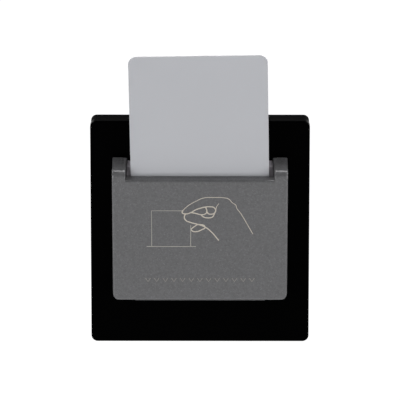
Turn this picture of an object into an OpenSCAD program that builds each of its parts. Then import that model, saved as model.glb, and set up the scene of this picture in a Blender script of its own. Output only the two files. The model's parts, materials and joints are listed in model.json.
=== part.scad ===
// Hotel key card switch: black wall plate, tilted grey card pocket, sprung slider, snap switch, relay base.
// X is to the right, Y goes into the wall, Z is up. The wall is the plane Y = 0, the plate is centred on it.

/* [Front plate] */
// Width of the front plate
plate_w = 86; // [82:0.5:120]
// Height of the front plate
plate_h = 91; // [82:0.5:120]
// Front face of the plate, measured out from the wall
plate_depth = 10; // [9:0.5:14]
// Corner radius of the plate
plate_r = 2.5; // [1:0.1:6]
// Thickness of the glossy front panel
panel_t = 3.5; // [2.5:0.1:4]
// Chamfer along the panel's front edges
panel_chamfer = 0.5; // [0.1:0.1:1]
// How far the panel overhangs the frame behind it
panel_overhang = 0.2; // [0.2:0.1:1.5]
// Thickness of the bonding tape behind the panel
tape_t = 0.4; // [0.2:0.1:0.8]
// Width of the tape's band
tape_band = 5; // [3:0.5:6]
// Thickness of the frame's web behind the panel
web_t = 1.5; // [1:0.1:2]
// Thickness of the frame's skirt
skirt_t = 1.8; // [1.2:0.1:2.5]
// Width of the pry notch in the lower edge of the skirt
pry_w = 8; // [5:0.5:14]
// Depth of the pry notch, measured out from the wall
pry_d = 1.4; // [0.8:0.1:2.5]

/* [Snap hooks] */
// Spacing of the hooks across the plate
hook_span_x = 32; // [24:1:40]
// Width of a hook
hook_w = 6; // [4:0.5:8]
// Thickness of a hook's arm
hook_t = 1.6; // [1.2:0.1:2]
// How far a hook's nose catches the yoke
hook_catch = 0.6; // [0.3:0.1:1]
// Height of a hook's nose behind the yoke
hook_nose = 2.2; // [1.5:0.1:3]

/* [Card pocket] */
// Lean of the pocket away from the wall
pocket_tilt = 8; // [4:0.5:12]
// Back edge of the lugs' top, above the plate's centre
pocket_top_z = 30.7; // [28:0.1:34]
// Width of a lug's front
lug_w = 5.15; // [4:0.05:7]
// Length of the pocket's front below the card's lower edge
pocket_below = 17.5; // [17:0.1:24]
// Depth of the pocket at its top, square to its front face
pocket_depth = 14.2; // [13:0.1:18]
// Wall of the pocket cover
pocket_wall = 2; // [1.5:0.1:2.4]
// Rounding of the top front edge
pocket_top_r = 2; // [1:0.1:3]
// Rounding of the lower front edge
pocket_low_r = 1; // [0.4:0.1:1.5]
// Rounding of the upright front edges
pocket_side_r = 0.6; // [0.3:0.1:1.2]
// Corner radius seen from the front, lower corners
pocket_corner_r = 2.2; // [1:0.1:4]
// Gap between the card and a lug at the plate
lug_gap = 1.51; // [1.4:0.01:3]
// How much further a lug stands from the card at the front
lug_splay = 0.6; // [0:0.1:1.5]
// Length of the solid lugs, down from their top
lug_len = 11; // [9:0.5:14]
// Lip of the slot, below the lugs' top
lip_drop = 3.5; // [2:0.1:6]
// Depth of the lip, from the front face back
lip_depth = 4.2; // [3:0.1:5]
// Thickness of the lip
lip_t = 2; // [1.2:0.1:3]
// Rounding of the lip's front edge
lip_r = 1.4; // [0.4:0.1:1.8]
// Width of the shallow pry lip under the pocket
pry_lip_w = 51; // [40:1:60]
// Height of that pry lip
pry_lip_h = 0.3; // [0.1:0.05:0.6]

/* [Card] */
// Width of the card
card_w = 53.98; // [53:0.02:55]
// Length of the card
card_h = 85.6; // [80:0.1:90]
// Thickness of the card
card_t = 0.76; // [0.6:0.02:0.9]
// Corner radius of the card
card_r = 3.18; // [2:0.02:4]
// Length of the card below the lip when it is pushed in
card_insert = 34.6; // [30:0.1:38]
// Roll of the card in its slot, left side down
card_roll = 0.9; // [0:0.1:1.2]

/* [Card guide] */
// Gap of the slot
slot_gap = 1.4; // [1.2:0.1:1.8]
// Play between the card and the guide, each side
card_play = 0.81; // [0.7:0.01:0.9]
// Top of the guide's back wall, below the lugs' top
back_drop = 1.2; // [0.6:0.1:2]
// Flat depth of the back wall's top, square to the front face
back_flat = 6.25; // [5:0.05:7.5]
// End of the lead-in, below the lugs' top
lead_in_end = 3.9; // [3:0.1:6]
// Wall of the guide
guide_wall = 1.6; // [1.2:0.1:2]
// Thickness of the channel's side walls
rail_t = 1.2; // [0.8:0.1:1.6]
// How far the front rails reach over the card's edges
rail_reach = 3.3; // [2:0.1:6]
// Thickness of the front rails
rail_front_t = 1.4; // [1:0.1:1.6]
// Lead-in at the top of the front rails
rail_lead = 0.6; // [0.3:0.1:0.9]
// Thickness of the floor under the card
floor_t = 1.6; // [1.2:0.1:2]
// Thickness of the rear flange
flange_t = 1.6; // [1.2:0.1:2]

/* [Slider] */
// Travel of the slider
slider_travel = 4; // [3:0.1:4.5]
// Width of the pad under the card
pad_w = 16; // [10:0.5:24]
// Depth of the pad
pad_d = 2.3; // [1.8:0.1:2.6]
// Thickness of the pad
pad_t = 2; // [1.5:0.1:3]
// Width of the finger that works the switch
finger_w = 4.4; // [3.5:0.1:5]
// Height of the slider's head, from the pad's top to the spring
head_h = 2.4; // [2.2:0.1:3]
// Radius of the slider's stem
stem_r = 1.3; // [1:0.05:1.4]
// Mean radius of the spring
spring_r = 1.75; // [1.7:0.05:1.9]
// Radius of the spring's wire
spring_wire_r = 0.2; // [0.15:0.01:0.25]
// Turns of the spring
spring_turns = 5; // [4:1:6]
// Thickness of the spring's shelf
shelf_t = 1.5; // [1:0.1:2]
// Width of the spring's shelf
shelf_w = 11; // [8:0.5:16]

/* [Snap switch] */
// Length of the snap switch
switch_l = 19.8; // [18:0.1:21]
// Height of the snap switch
switch_h = 10.2; // [9:0.1:10.3]
// Thickness of the snap switch
switch_t = 6.4; // [6:0.1:6.5]
// Distance of the lever's pivot from the switch's end
pivot_in = 2.5; // [2:0.1:3]
// Distance from the lever's pivot to the finger's middle
pivot_reach = 13.5; // [12:0.1:14]
// Length of the lever past the finger's middle
lever_past = 4.5; // [3.5:0.1:6]
// Width of the lever
lever_w = 4.4; // [3:0.1:4.4]
// Thickness of the lever
lever_t = 0.4; // [0.3:0.05:0.6]
// Gap between the lever and the switch's top
lever_lift = 0.45; // [0.4:0.05:0.8]
// Radius of the lever's pin
pin_r = 0.6; // [0.5:0.05:0.7]
// Wall of the lever's eye
eye_wall = 0.28; // [0.25:0.01:0.35]
// Thickness of the ears that hold the pin
ear_t = 0.8; // [0.6:0.05:0.8]
// Radius of the switch's button
button_r = 0.9; // [0.6:0.05:1.2]
// Distance of the button from the lever's pivot
button_reach = 4.6; // [4:0.1:6]
// Depth of the button inside the switch
button_in = 2; // [1.5:0.1:3]
// Spacing of the switch's mounting holes
switch_hole_span = 9.5; // [9:0.1:10]
// Radius of those holes
switch_hole_r = 1.2; // [1:0.05:1.3]

/* [Wall fixing] */
// Spacing of the wall-box screws
fixing_span = 60.3; // [60:0.1:61]
// Radius of the wall-box screws
fixing_r = 1.75; // [1.5:0.05:2]
// Length of the wall-box screws under the head
fixing_len = 25; // [16:1:40]
// Radius of their plain neck, where they pass the yoke
fixing_neck_r = 1.5; // [1.3:0.05:1.6]
// Width of the yoke
yoke_w = 74; // [70:0.5:76]
// Height of the yoke past the base, at the top and at the bottom
yoke_past = 9; // [7:0.5:12]
// Thickness of the yoke's sheet
yoke_t = 1.2; // [1:0.1:1.5]
// Corner radius of the yoke
yoke_r = 4; // [2:0.5:6]
// Opening of the yoke, square
yoke_open = 46; // [45.5:0.1:47]
// Height of the yoke's folded edges
yoke_fold = 2; // [1:0.1:2.4]
// Adjustment of the yoke's screw slots
fixing_slide = 3.5; // [2:0.1:5]

/* [Base] */
// Width of the base behind the wall
base_w = 50; // [49:0.1:52]
// Height of the base behind the wall
base_h = 50; // [49:0.1:52]
// Depth of the base behind the wall
base_depth = 27; // [26:0.5:40]
// Wall of the base
base_wall = 1.8; // [1.5:0.1:2]
// Corner radius of the base
base_r = 3; // [2:0.1:4]
// Thickness of the insulating cover
cover_t = 1.2; // [1:0.1:1.5]
// Spacing across of the screws that hold the base to the yoke
ear_span_x = 55; // [54.6:0.1:56]
// Spacing up and down of those screws
ear_span_z = 36; // [30:0.5:40]
// Radius of the base's screw ears
base_ear_r = 3; // [2.6:0.1:3.4]
// Depth of the base's screw ears
base_ear_d = 9; // [7:0.5:12]
// Vent slots in each side and in the top of the base
vent_n = 5; // [1:1:5]
// Width of a vent slot
vent_w = 1.2; // [0.8:0.1:2]
// Length of a vent slot, along the base's depth
vent_l = 8; // [4:0.5:10]
// Spacing of the vent slots
vent_pitch = 3.6; // [2.5:0.1:4]
// Width of the shallow recess on the base's back
recess_w = 36; // [20:1:40]
// Height of that recess
recess_h = 18; // [10:1:20]
// Depth of that recess
recess_d = 0.3; // [0.2:0.1:0.6]

/* [Circuit board] */
// Thickness of the board
board_t = 1.6; // [1.2:0.1:2]
// Front of the board, measured in from the wall
board_in = 3; // [2.9:0.1:3.5]
// Distance of the board's posts from the base's inner walls
post_in = 3.6; // [3:0.1:4]
// Radius of the posts
post_r = 2.5; // [2:0.1:2.6]
// Radius of the component leads
lead_r = 0.35; // [0.25:0.05:0.45]

/* [Terminals] */
// Spacing of the terminals
bay_pitch = 15; // [13:0.5:15]
// Width of a brass pillar
pillar_w = 8; // [7:0.1:9]
// Depth of a brass pillar
pillar_d = 9; // [8.6:0.1:9.4]
// Height of a brass pillar
pillar_h = 9; // [7:0.1:9.4]
// Radius of the wire hole
wire_r = 1.9; // [1.5:0.05:2.2]
// Radius of the clamping screws
clamp_r = 1.75; // [1.5:0.05:2]
// Top of the terminal bays, below the middle
bay_top = 13.5; // [13.2:0.1:14.5]
// Thickness of the walls round the bays
bay_wall = 1.4; // [1:0.1:1.8]

/* [Fits] */
// Clearance between pieces that lie beside each other
side_gap = 0.3; // [0.2:0.05:0.35]
// Clearance of a screw in its own thread hole, on the radius
thread_gap = 0.05; // [0.02:0.01:0.1]
// Clearance of a screw in a through hole, on the radius
pass_gap = 0.3; // [0.2:0.05:0.4]
// Running clearance of pins and stems, on the radius
run_gap = 0.04; // [0.02:0.01:0.08]

/* [Hidden] */
$fn = 64;

// how far a cutting shape runs past what it cuts
over = 1;
sides = [-1, 1];

// depths of the layers behind the panel
panel_back = -plate_depth + panel_t;
tape_back = panel_back + tape_t;
web_back = tape_back + web_t;
tape_inset = panel_overhang + skirt_t;

// outline of the frame behind the panel
frame_w = plate_w - 2 * panel_overhang;
frame_h = plate_h - 2 * panel_overhang;
frame_r = plate_r - panel_overhang;

// the pocket's outline, round the card
notch_back_w = card_w + 2 * lug_gap;
notch_front_w = notch_back_w + 2 * lug_splay;
pocket_w = notch_front_w + 2 * lug_w;
pocket_h = lip_drop + card_insert + pocket_below;

// the pocket's own frame: out is square to its front face, down runs along it
slot_front = pocket_depth - lip_depth;
slot_back = slot_front - slot_gap;
card_out = (slot_front + slot_back) / 2;
card_low = lip_drop + card_insert;
channel_half = card_w / 2 + card_play;
rail_outer = channel_half + rail_t;
rail_top = lug_len + side_gap;
rail_front = slot_front + rail_front_t;
guide_half = notch_back_w / 2 - side_gap;
floor_low = card_low + card_w / 2 * sin(card_roll) + side_gap;
// hollows behind the guide's back wall, and their depth down from the lugs' top
guide_cells = 3;
core_low = 22;
lug_mid = (pocket_w / 2 + notch_front_w / 2) / 2;

function pocket_y(out, down) = -plate_depth - out * cos(pocket_tilt) + down * sin(pocket_tilt);
function pocket_z(out, down) = pocket_top_z - out * sin(pocket_tilt) - down * cos(pocket_tilt);

// rear flange of the guide, on the plate
flange_front = -plate_depth - flange_t;
flange_half = pocket_w / 2 - pocket_wall - side_gap;
flange_top = pocket_top_z - (lug_len + side_gap) / cos(pocket_tilt);
flange_low = pocket_top_z - (pocket_h - pocket_wall - side_gap) / cos(pocket_tilt);

// screws that hold the pocket
pocket_screw_r = 1.1;
pocket_screw_grip = 5;
pocket_screw_head_r = 2;
pocket_screw_head_h = 1.4;
boss_r = 2.6;
boss_x = flange_half - boss_r + side_gap;
boss_low_z = flange_low + boss_r + side_gap;
boss_high_z = pocket_top_z - lug_len / 2 - pocket_screw_r;
pocket_screw_at = [
    [-lug_mid, boss_high_z], [lug_mid, boss_high_z], [-boss_x, boss_low_z], [boss_x, boss_low_z]
];

// blocks inside the pocket's side walls that press the guide's flange on the plate
hold_w = 3;
hold_z = 14;
hold_h = 4;

// slider: it slides along the pocket, under the card's lower edge
pad_top_d = card_low + pad_w / 2 * sin(card_roll) + side_gap;
pad_high_d = pad_top_d - slider_travel - 2 * side_gap;
head_low_d = pad_top_d + head_h;
head_half = spring_r + spring_wire_r + run_gap;
stem_past = 1;
stem_end_d = pocket_h - pocket_wall - side_gap;
shelf_top_d = stem_end_d - stem_past - slider_travel - shelf_t;
shelf_low_d = shelf_top_d + shelf_t;
stem_slot_half = spring_r + spring_wire_r + 3 * side_gap;
finger_front = pocket_y(card_out, pad_top_d);
finger_top = pocket_z(card_out, pad_top_d);
finger_low = pocket_z(card_out - head_half, head_low_d);
window_low = finger_low - 2 * side_gap;
window_high = finger_top + slider_travel + 2 * side_gap;
window_half = finger_w / 2 + 3 * side_gap;

// spring, as one tube along a helix
spring_gap = 0.1;
spring_sides = 6;
spring_rings_per_turn = 8;
spring_low = spring_wire_r + spring_gap - shelf_top_d;
spring_high = -head_low_d - spring_wire_r - spring_gap;

// snap switch, under the finger
switch_back = board_in;
switch_front = switch_back - switch_t;
pivot_x = -pivot_reach;
switch_x0 = pivot_x - pivot_in;
lever_gap = 0.25;
lever_top = finger_low - lever_gap;
lever_low = lever_top - lever_t;
switch_top = lever_low - lever_lift;
switch_low = switch_top - switch_h;
eye_r = pin_r + run_gap + eye_wall;
pivot_z = lever_low + eye_r;
ear_wall = 0.8;
ear_r = pin_r + ear_wall;
lever_y0 = (switch_front + switch_back - lever_w) / 2;
lever_end = pivot_x + pivot_reach + lever_past;
finger_tip = lever_y0 + lever_w - side_gap;
button_x = pivot_x + button_reach;
button_gap = 0.1;
switch_pin_w = 0.8;
switch_pin_t = 0.5;
switch_pin_past = 1;
switch_pin_pitch = 7.6;
switch_pin_up = 1.4;
switch_hole_up = 3.4;
switch_mid_x = switch_x0 + switch_l / 2;
switch_mid_y = (switch_front + switch_back) / 2;
switch_pin_x = [for (i = [-1:1]) switch_mid_x + i * switch_pin_pitch];
switch_pin_z = switch_low + switch_pin_up;
switch_hole_z = switch_low + switch_hole_up;

// proportions of a pan-head screw to its head's radius: recess width, recess length and dome
screw_recess_w = 0.26;
screw_recess_l = 1.15;
screw_dome = 1.9;
// depth of the recess to the head's height
screw_recess_d = 0.6;

// yoke and its screws
screw_head_r = 3.2;
screw_head_h = 2.2;
base_screw_r = 1.25;
base_screw_len = 8;
base_screw_head_r = 2.3;
base_screw_head_h = 1.6;
base_ear_at = [for (x = sides) for (z = sides) [x * ear_span_x / 2, z * ear_span_z / 2]];
vent_at = [for (i = [0:vent_n - 1]) (i - (vent_n - 1) / 2) * vent_pitch];
vent_y = (base_ear_d + base_depth) / 2;
recess_z = (base_h / 2 - bay_top) / 2;
yoke_h = base_h + 2 * yoke_past;
latch_past = 3.4;
latch_z = base_h / 2 + latch_past;
latch_low = latch_z - hook_t / 2 - side_gap;
latch_high = latch_z + hook_t / 2 + side_gap;

// board
board_back = board_in + board_t;
board_half = base_w / 2 - base_wall - side_gap;
board_half_z = base_h / 2 - base_wall - side_gap;
board_r = 1;
board_screw_r = 1.1;
board_screw_len = 6;
board_screw_head_r = 2;
board_screw_head_h = 1.3;
post_x = base_w / 2 - base_wall - post_in;
post_z = base_h / 2 - base_wall - post_in;
board_screw_at = [[-post_x, post_z], [post_x, -post_z]];
part_y = board_back + side_gap;
lead_short = 0.2;
lead_end = board_in + lead_short;
lead_root = part_y + 1;
hole_gap = 0.15;

// indicator
led_x = 14;
led_z = 4;
led_r = 1.5;
led_flange_r = 1.9;
led_flange_t = 1;
led_len = 5.3;
led_lead_span = 2.54;
guide_rod_r = 1.5;
guide_collar_r = 2.6;
guide_collar_t = 0.9;
guide_rod_back = board_in - led_len - side_gap;
guide_rod_down = (pocket_top_z - slot_back * sin(pocket_tilt) - led_z) / cos(pocket_tilt);
guide_rod_front = pocket_y(slot_back, guide_rod_down) + side_gap;

// parts on the board: lower left corner or middle, size, and leads from that place
relay_at = [-21, 0.5];
relay_size = [19, 15.3, 15.5];
relay_foot = 2;
relay_step = 0.4;
relay_leads = [for (p = [[2, 2], [2, 13.5], [9.5, 2], [16.5, 2], [16.5, 13.5]]) relay_at + p];
film_at = [-1.5, 15.5];
film_size = [17.5, 12, 6];
film_leads = [for (x = [1.2, 16.2]) film_at + [x, film_size[2] / 2]];
can_at = [7, 8.5];
can_r = 4;
can_h = 12;
can_groove = 0.35;
can_lead_span = 3.5;
can_leads = [for (x = sides) can_at + [x * can_lead_span / 2, 0]];
disc_at = [18, 10.5];
disc_r = 4.4;
disc_t = 3.8;
disc_lift = 1.4;
disc_lead_span = [7.5, 1];
disc_leads = [for (i = sides) disc_at + i * disc_lead_span / 2];
fuse_at = [16.5, -3];
fuse_r = 4.2;
fuse_h = 7.7;
fuse_lead_span = 5.08;
fuse_leads = [for (x = sides) fuse_at + [x * fuse_lead_span / 2, 0]];
bridge_at = [-14, -6];
bridge_size = [8.2, 3.2, 6.4];
bridge_lead_span = [5.08, 7.62];
bridge_leads = [for (x = sides) for (z = sides)
    bridge_at + [x * bridge_lead_span[0], z * bridge_lead_span[1]] / 2];
resistor_at = [[5.5, -2.5], [5.5, -7.5]];
resistor_r = 1.25;
resistor_l = 6.3;
resistor_cap = 1.75;
resistor_bulge = 0.3;
resistor_span = 10.16;
resistor_leads = [for (p = resistor_at) for (x = sides) p + [x * resistor_span / 2, 0]];
chip_at = [-4.5, -6];
chip_size = [4.9, 1.5, 3.9];
chip_feet = 4;
chip_foot = 1;
chip_foot_t = 0.25;
chip_pitch = 1.27;
chip_lead_w = 0.42;
led_leads = [for (x = sides) [led_x + x * led_lead_span / 2, led_z]];
all_leads = concat(relay_leads, film_leads, can_leads, disc_leads, fuse_leads, bridge_leads, resistor_leads,
    led_leads);

// terminals
bay_x = [for (i = [-1:1]) i * bay_pitch];
bay_depth = 13;
bay_front = base_depth - bay_depth;
bay_half = pillar_w / 2 + side_gap;
pillar_front = bay_front + side_gap;
pillar_top = -bay_top - side_gap;
pillar_mid_z = pillar_top - pillar_h / 2;
wire_wall = 1.6;
wire_y = pillar_front + wire_wall + wire_r;
tail_w = 4;
tail_t = 0.8;
tail_drop = 0.4;
tail_shift = -2;
tail_z = pillar_top - tail_t - tail_drop;
clamp_len = 3.4;
clamp_head_r = 2.8;
clamp_head_h = 2;
clamp_gap = 0.3;

// colours as the photo shows them, and usual ones for what it hides
panel_black = [0.02, 0.02, 0.02];
frame_black = [0.07, 0.07, 0.07];
pocket_grey = [0.41, 0.41, 0.42];
guide_grey = [0.28, 0.27, 0.29];
card_grey = [0.7, 0.71, 0.72];
zinc = [0.72, 0.73, 0.74];
brass = [0.78, 0.64, 0.3];
base_white = [0.86, 0.86, 0.84];
board_green = [0.1, 0.36, 0.2];
clear_blue = [0.85, 0.92, 0.95];
switch_black = [0.12, 0.12, 0.13];
relay_blue = [0.1, 0.25, 0.5];
can_navy = [0.15, 0.16, 0.22];
fuse_brown = [0.35, 0.16, 0.1];
resistor_tan = [0.76, 0.66, 0.5];
chip_black = [0.09, 0.09, 0.1];

// a block between two corners
module block(x0, x1, y0, y1, z0, z1) {
    translate([x0, y0, z0]) cube([x1 - x0, y1 - y0, z1 - z0]);
}

// an X-Z outline, drawn between two depths
module slab(y0, y1) {
    translate([0, y1, 0]) rotate([90, 0, 0]) linear_extrude(y1 - y0) children();
}

// a Y-Z outline, drawn between two places across
module prism(x0, x1) {
    translate([x0, 0, 0]) rotate([90, 0, 90]) linear_extrude(x1 - x0) children();
}

// a rod along Y
module rod(at, r, y0, y1) {
    translate([at[0], y1, at[1]]) rotate([90, 0, 0]) cylinder(r = r, h = y1 - y0);
}

// a rectangle with round corners, about the middle
module round_rect(w, h, r) {
    square([w - 2 * r, h], center = true);
    square([w, h - 2 * r], center = true);
    for (x = sides) for (y = sides) translate([x * (w / 2 - r), y * (h / 2 - r)]) circle(r = r);
}

// a rectangle from corner to corner whose two lower corners and upper left one may be round
module corner_rect(x0, x1, y0, y1, r_low_left, r_low_right, r_top_left) {
    polygon([
        [x0 + r_low_left, y0], [x1 - r_low_right, y0], [x1, y0 + r_low_right], [x1, y1],
        [x0 + r_top_left, y1], [x0, y1 - r_top_left], [x0, y0 + r_low_left]
    ]);
    if (r_low_left > 0) translate([x0 + r_low_left, y0 + r_low_left]) circle(r = r_low_left);
    if (r_low_right > 0) translate([x1 - r_low_right, y0 + r_low_right]) circle(r = r_low_right);
    if (r_top_left > 0) translate([x0 + r_top_left, y1 - r_top_left]) circle(r = r_top_left);
}

// a slot with round ends along X
module round_slot(length, r) {
    square([length, 2 * r], center = true);
    for (x = sides) translate([x * length / 2, 0]) circle(r = r);
}

// a screw along +Z: its head ends at the origin, with a domed top and a cross recess
module pan_screw(len, r, head_r, head_h) {
    recess_w = head_r * screw_recess_w;
    recess_l = head_r * screw_recess_l;
    dome_r = head_r * screw_dome;
    difference() {
        union() {
            intersection() {
                translate([0, 0, -head_h]) cylinder(r = head_r, h = head_h);
                translate([0, 0, dome_r - head_h]) sphere(r = dome_r);
            }
            cylinder(r = r, h = len);
        }
        for (turn = [0, 90]) {
            rotate([0, 0, turn])
                translate([-recess_l / 2, -recess_w / 2, -head_h - over])
                cube([recess_l, recess_w, head_h * screw_recess_d + over]);
        }
    }
}

// a screw's place, with its point towards the wall or towards the room
module to_wall(at, y) {
    translate([at[0], y, at[1]]) rotate([-90, 0, 0]) children();
}

module to_room(at, y) {
    translate([at[0], y, at[1]]) rotate([90, 0, 0]) children();
}

// the pocket's own frame: its lugs' top is the plane Z = 0 and its front is at Y = -pocket_depth
module in_pocket() {
    translate([0, -plate_depth, pocket_top_z]) rotate([pocket_tilt, 0, 0]) children();
}

// everything behind the plate's face, which the pocket doesn't reach
module behind_plate() {
    block(-plate_w, plate_w, -plate_depth, plate_w, -plate_h, plate_h);
}

// leads of a part on the board, from the part to just short of the board's front
module leads(places, root = lead_root) {
    for (p = places) rod(p, lead_r, lead_end, root);
}

// half outline of a chamfered edge strip, as wide as given, in front of the panel's straight sides
function chamfer_outline(half) = [
    [-plate_depth, half - panel_chamfer], [panel_chamfer - plate_depth, half],
    [panel_chamfer - plate_depth, -half], [-plate_depth, panel_chamfer - half]
];

// the panel's front layer, chamfered along its sides and round its corners
module chamfer_layer() {
    straight_x = plate_w / 2 - plate_r;
    straight_z = plate_h / 2 - plate_r;
    prism(-straight_x, straight_x) polygon(chamfer_outline(plate_h / 2));
    translate([0, 0, -straight_z]) linear_extrude(2 * straight_z)
        polygon([for (p = chamfer_outline(plate_w / 2)) [p[1], p[0]]]);
    for (x = sides) for (z = sides) {
        to_room([x * straight_x, z * straight_z], panel_chamfer - plate_depth)
            cylinder(r1 = plate_r, r2 = plate_r - panel_chamfer, h = panel_chamfer);
    }
}

module front_panel() {
    front = -plate_depth;
    color(panel_black) difference() {
        union() {
            chamfer_layer();
            slab(front + panel_chamfer, panel_back) round_rect(plate_w, plate_h, plate_r);
        }
        for (p = pocket_screw_at) rod(p, pocket_screw_r + pass_gap, front - over, panel_back + over);
        rod([led_x, led_z], guide_rod_r + pass_gap, front - over, panel_back + over);
        block(-window_half, window_half, front - over, panel_back + over, window_low, window_high);
    }
}

module panel_tape() {
    w = plate_w - 2 * tape_inset;
    h = plate_h - 2 * tape_inset;
    color("dimgray") slab(panel_back, tape_back) difference() {
        square([w, h], center = true);
        square([w - 2 * tape_band, h - 2 * tape_band], center = true);
        for (p = pocket_screw_at) translate(p) circle(r = pocket_screw_r + pass_gap);
    }
}

// a hook that points up: its arm runs back from the web and its nose catches behind the yoke
module hook() {
    nose_front = side_gap;
    prism(-hook_w / 2, hook_w / 2) polygon([
        [web_back - web_t / 2, latch_z - hook_t / 2], [nose_front + hook_nose, latch_z - hook_t / 2],
        [nose_front + hook_nose, latch_z], [nose_front + hook_nose / 2, latch_high + hook_catch],
        [nose_front, latch_high + hook_catch], [nose_front, latch_z + hook_t / 2],
        [web_back - web_t / 2, latch_z + hook_t / 2]
    ]);
}

module fascia_frame() {
    inner_w = frame_w - 2 * skirt_t;
    inner_h = frame_h - 2 * skirt_t;
    inner_r = max(frame_r - skirt_t, panel_chamfer);
    color(frame_black) {
        difference() {
            slab(tape_back, 0) round_rect(frame_w, frame_h, frame_r);
            slab(web_back, over) round_rect(inner_w, inner_h, inner_r);
            for (p = pocket_screw_at) rod(p, pocket_screw_r + pass_gap, tape_back - over, web_back + over);
            rod([led_x, led_z], guide_rod_r + pass_gap / 2, tape_back - over, web_back + over);
            block(-window_half, window_half, tape_back - over, web_back + over, window_low, window_high);
            block(-pry_w / 2, pry_w / 2, -pry_d, over, -frame_h, -inner_h / 2 + over);
        }
        for (x = sides) {
            translate([x * hook_span_x / 2, 0, 0]) {
                hook();
                mirror([0, 0, 1]) hook();
            }
        }
    }
}

// outside of the pocket: three outlines crossed, so each edge has its own rounding
module pocket_block() {
    half = pocket_w / 2;
    difference() {
        in_pocket() {
            intersection() {
                prism(-half, half)
                    corner_rect(-pocket_depth, over, -pocket_h, 0, pocket_low_r, 0, pocket_top_r);
                slab(-pocket_depth - over, 2 * over)
                    corner_rect(-half, half, -pocket_h, over, pocket_corner_r, pocket_corner_r, 0);
                translate([0, 0, -pocket_h - over]) linear_extrude(pocket_h + 2 * over)
                    corner_rect(-half, half, -pocket_depth, over, pocket_side_r, pocket_side_r, 0);
            }
            block(-pry_lip_w / 2, pry_lip_w / 2, pocket_low_r - pocket_depth, over, -pocket_h - pry_lip_h,
                over - pocket_h);
        }
        behind_plate();
    }
}

// the space between the lugs: its plan splays outwards, its side view steps round the slot's lip
module notch(inner_out) {
    back_half = notch_back_w / 2;
    reach = pocket_depth + over;
    splay = (notch_front_w - notch_back_w) / 2 / pocket_depth;
    front_half = back_half + splay * reach;
    rear_half = back_half - splay * over;
    lip_low = lip_drop + lip_t;
    round_out = lip_r - pocket_depth;
    round_low = -lip_drop - lip_r;
    intersection() {
        prism(-pocket_w, pocket_w) difference() {
            polygon([
                [over, over], [-reach, over], [-reach, round_low], [round_out, round_low],
                [round_out, -lip_drop], [-slot_front, -lip_drop], [-slot_front, -lip_low],
                [-inner_out, -lip_low], [-inner_out, -lug_len - over], [over, -lug_len - over]
            ]);
            translate([round_out, round_low]) circle(r = lip_r);
        }
        translate([0, 0, -pocket_h]) linear_extrude(pocket_h + 2 * over) polygon([
            [-rear_half, over], [rear_half, over], [front_half, -reach], [-front_half, -reach]
        ]);
    }
}

module pocket_cover() {
    inner_half = pocket_w / 2 - pocket_wall;
    inner_out = pocket_depth - pocket_wall;
    color(pocket_grey) difference() {
        union() {
            difference() {
                pocket_block();
                in_pocket() {
                    block(-inner_half, inner_half, -inner_out, over, pocket_wall - pocket_h, -lug_len);
                    notch(inner_out);
                }
            }
            intersection() {
                pocket_block();
                for (x = sides) {
                    rod([x * boss_x, boss_low_z], boss_r, -2 * plate_depth, flange_front);
                    block(x > 0 ? inner_half - hold_w + side_gap : -inner_half - over,
                        x > 0 ? inner_half + over : hold_w - side_gap - inner_half,
                        pocket_y(pocket_depth, 0), flange_front, hold_z, hold_z + hold_h);
                }
            }
        }
        for (p = pocket_screw_at) {
            rod(p, pocket_screw_r + thread_gap, -plate_depth - pocket_screw_grip - side_gap,
                over - plate_depth);
        }
    }
}

// side view of the guide's back wall with its lead-in
module guide_side(inset) {
    polygon([
        [over, -back_drop - inset], [inset / 2 - back_flat, -back_drop - inset],
        [inset - slot_back, -lead_in_end - inset / 2], [inset - slot_back, inset - floor_low],
        [over, inset - floor_low]
    ]);
}

// front rail with its lead-in
module rail_side() {
    polygon([
        [-rail_front, -rail_top], [-slot_front - rail_lead, -rail_top],
        [-slot_front, -rail_top - 2 * rail_lead], [-slot_front, -floor_low - floor_t],
        [-rail_front, -floor_low - floor_t]
    ]);
}

// the room for the slider: its pad, its head with the spring and finger, and its stem through the shelf
module slider_room() {
    in_pocket() {
        translate([0, -card_out, 0]) {
            block(-pad_w / 2 - side_gap, pad_w / 2 + side_gap, -pad_d / 2 - side_gap, pad_d / 2 + side_gap,
                -floor_low - floor_t - over, -pad_high_d);
            block(-window_half, window_half, -head_half - side_gap, pocket_depth, -shelf_top_d, -pad_high_d);
            block(-stem_slot_half, stem_slot_half, -stem_slot_half, pocket_depth, -pocket_h, -shelf_low_d);
            translate([0, 0, -shelf_low_d - over]) cylinder(r = stem_r + run_gap, h = shelf_t + 2 * over);
        }
    }
}

module card_guide() {
    cell_w = (2 * guide_half - (guide_cells + 1) * guide_wall) / guide_cells;
    color(guide_grey) difference() {
        union() {
            in_pocket() {
                prism(-guide_half, guide_half) guide_side(0);
                for (x = sides) {
                    prism(x > 0 ? channel_half : -rail_outer, x > 0 ? rail_outer : -channel_half)
                        polygon([
                            [-rail_front, -rail_top], [over, -rail_top], [over, -floor_low - floor_t],
                            [-rail_front, -floor_low - floor_t]
                        ]);
                    prism(x > 0 ? rail_outer - rail_reach - rail_t : -rail_outer,
                        x > 0 ? rail_outer : rail_reach + rail_t - rail_outer) rail_side();
                }
                block(-rail_outer, rail_outer, -rail_front, over, -floor_low - floor_t, -floor_low);
                block(-shelf_w / 2, shelf_w / 2, -rail_front, over, -shelf_low_d, -shelf_top_d);
            }
            slab(flange_front, -plate_depth) translate([-flange_half, flange_low])
                square([2 * flange_half, flange_top - flange_low]);
        }
        behind_plate();
        in_pocket() for (i = [0:guide_cells - 1]) {
            left = -guide_half + guide_wall + i * (cell_w + guide_wall);
            prism(left, left + cell_w) intersection() {
                guide_side(guide_wall);
                translate([-pocket_depth, -core_low]) square([2 * pocket_depth, core_low]);
            }
        }
        slider_room();
        for (p = pocket_screw_at) rod(p, pocket_screw_r + pass_gap, flange_front - over, over - plate_depth);
        rod([led_x, led_z], guide_rod_r + run_gap, -3 * plate_depth, over - plate_depth);
    }
}

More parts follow.
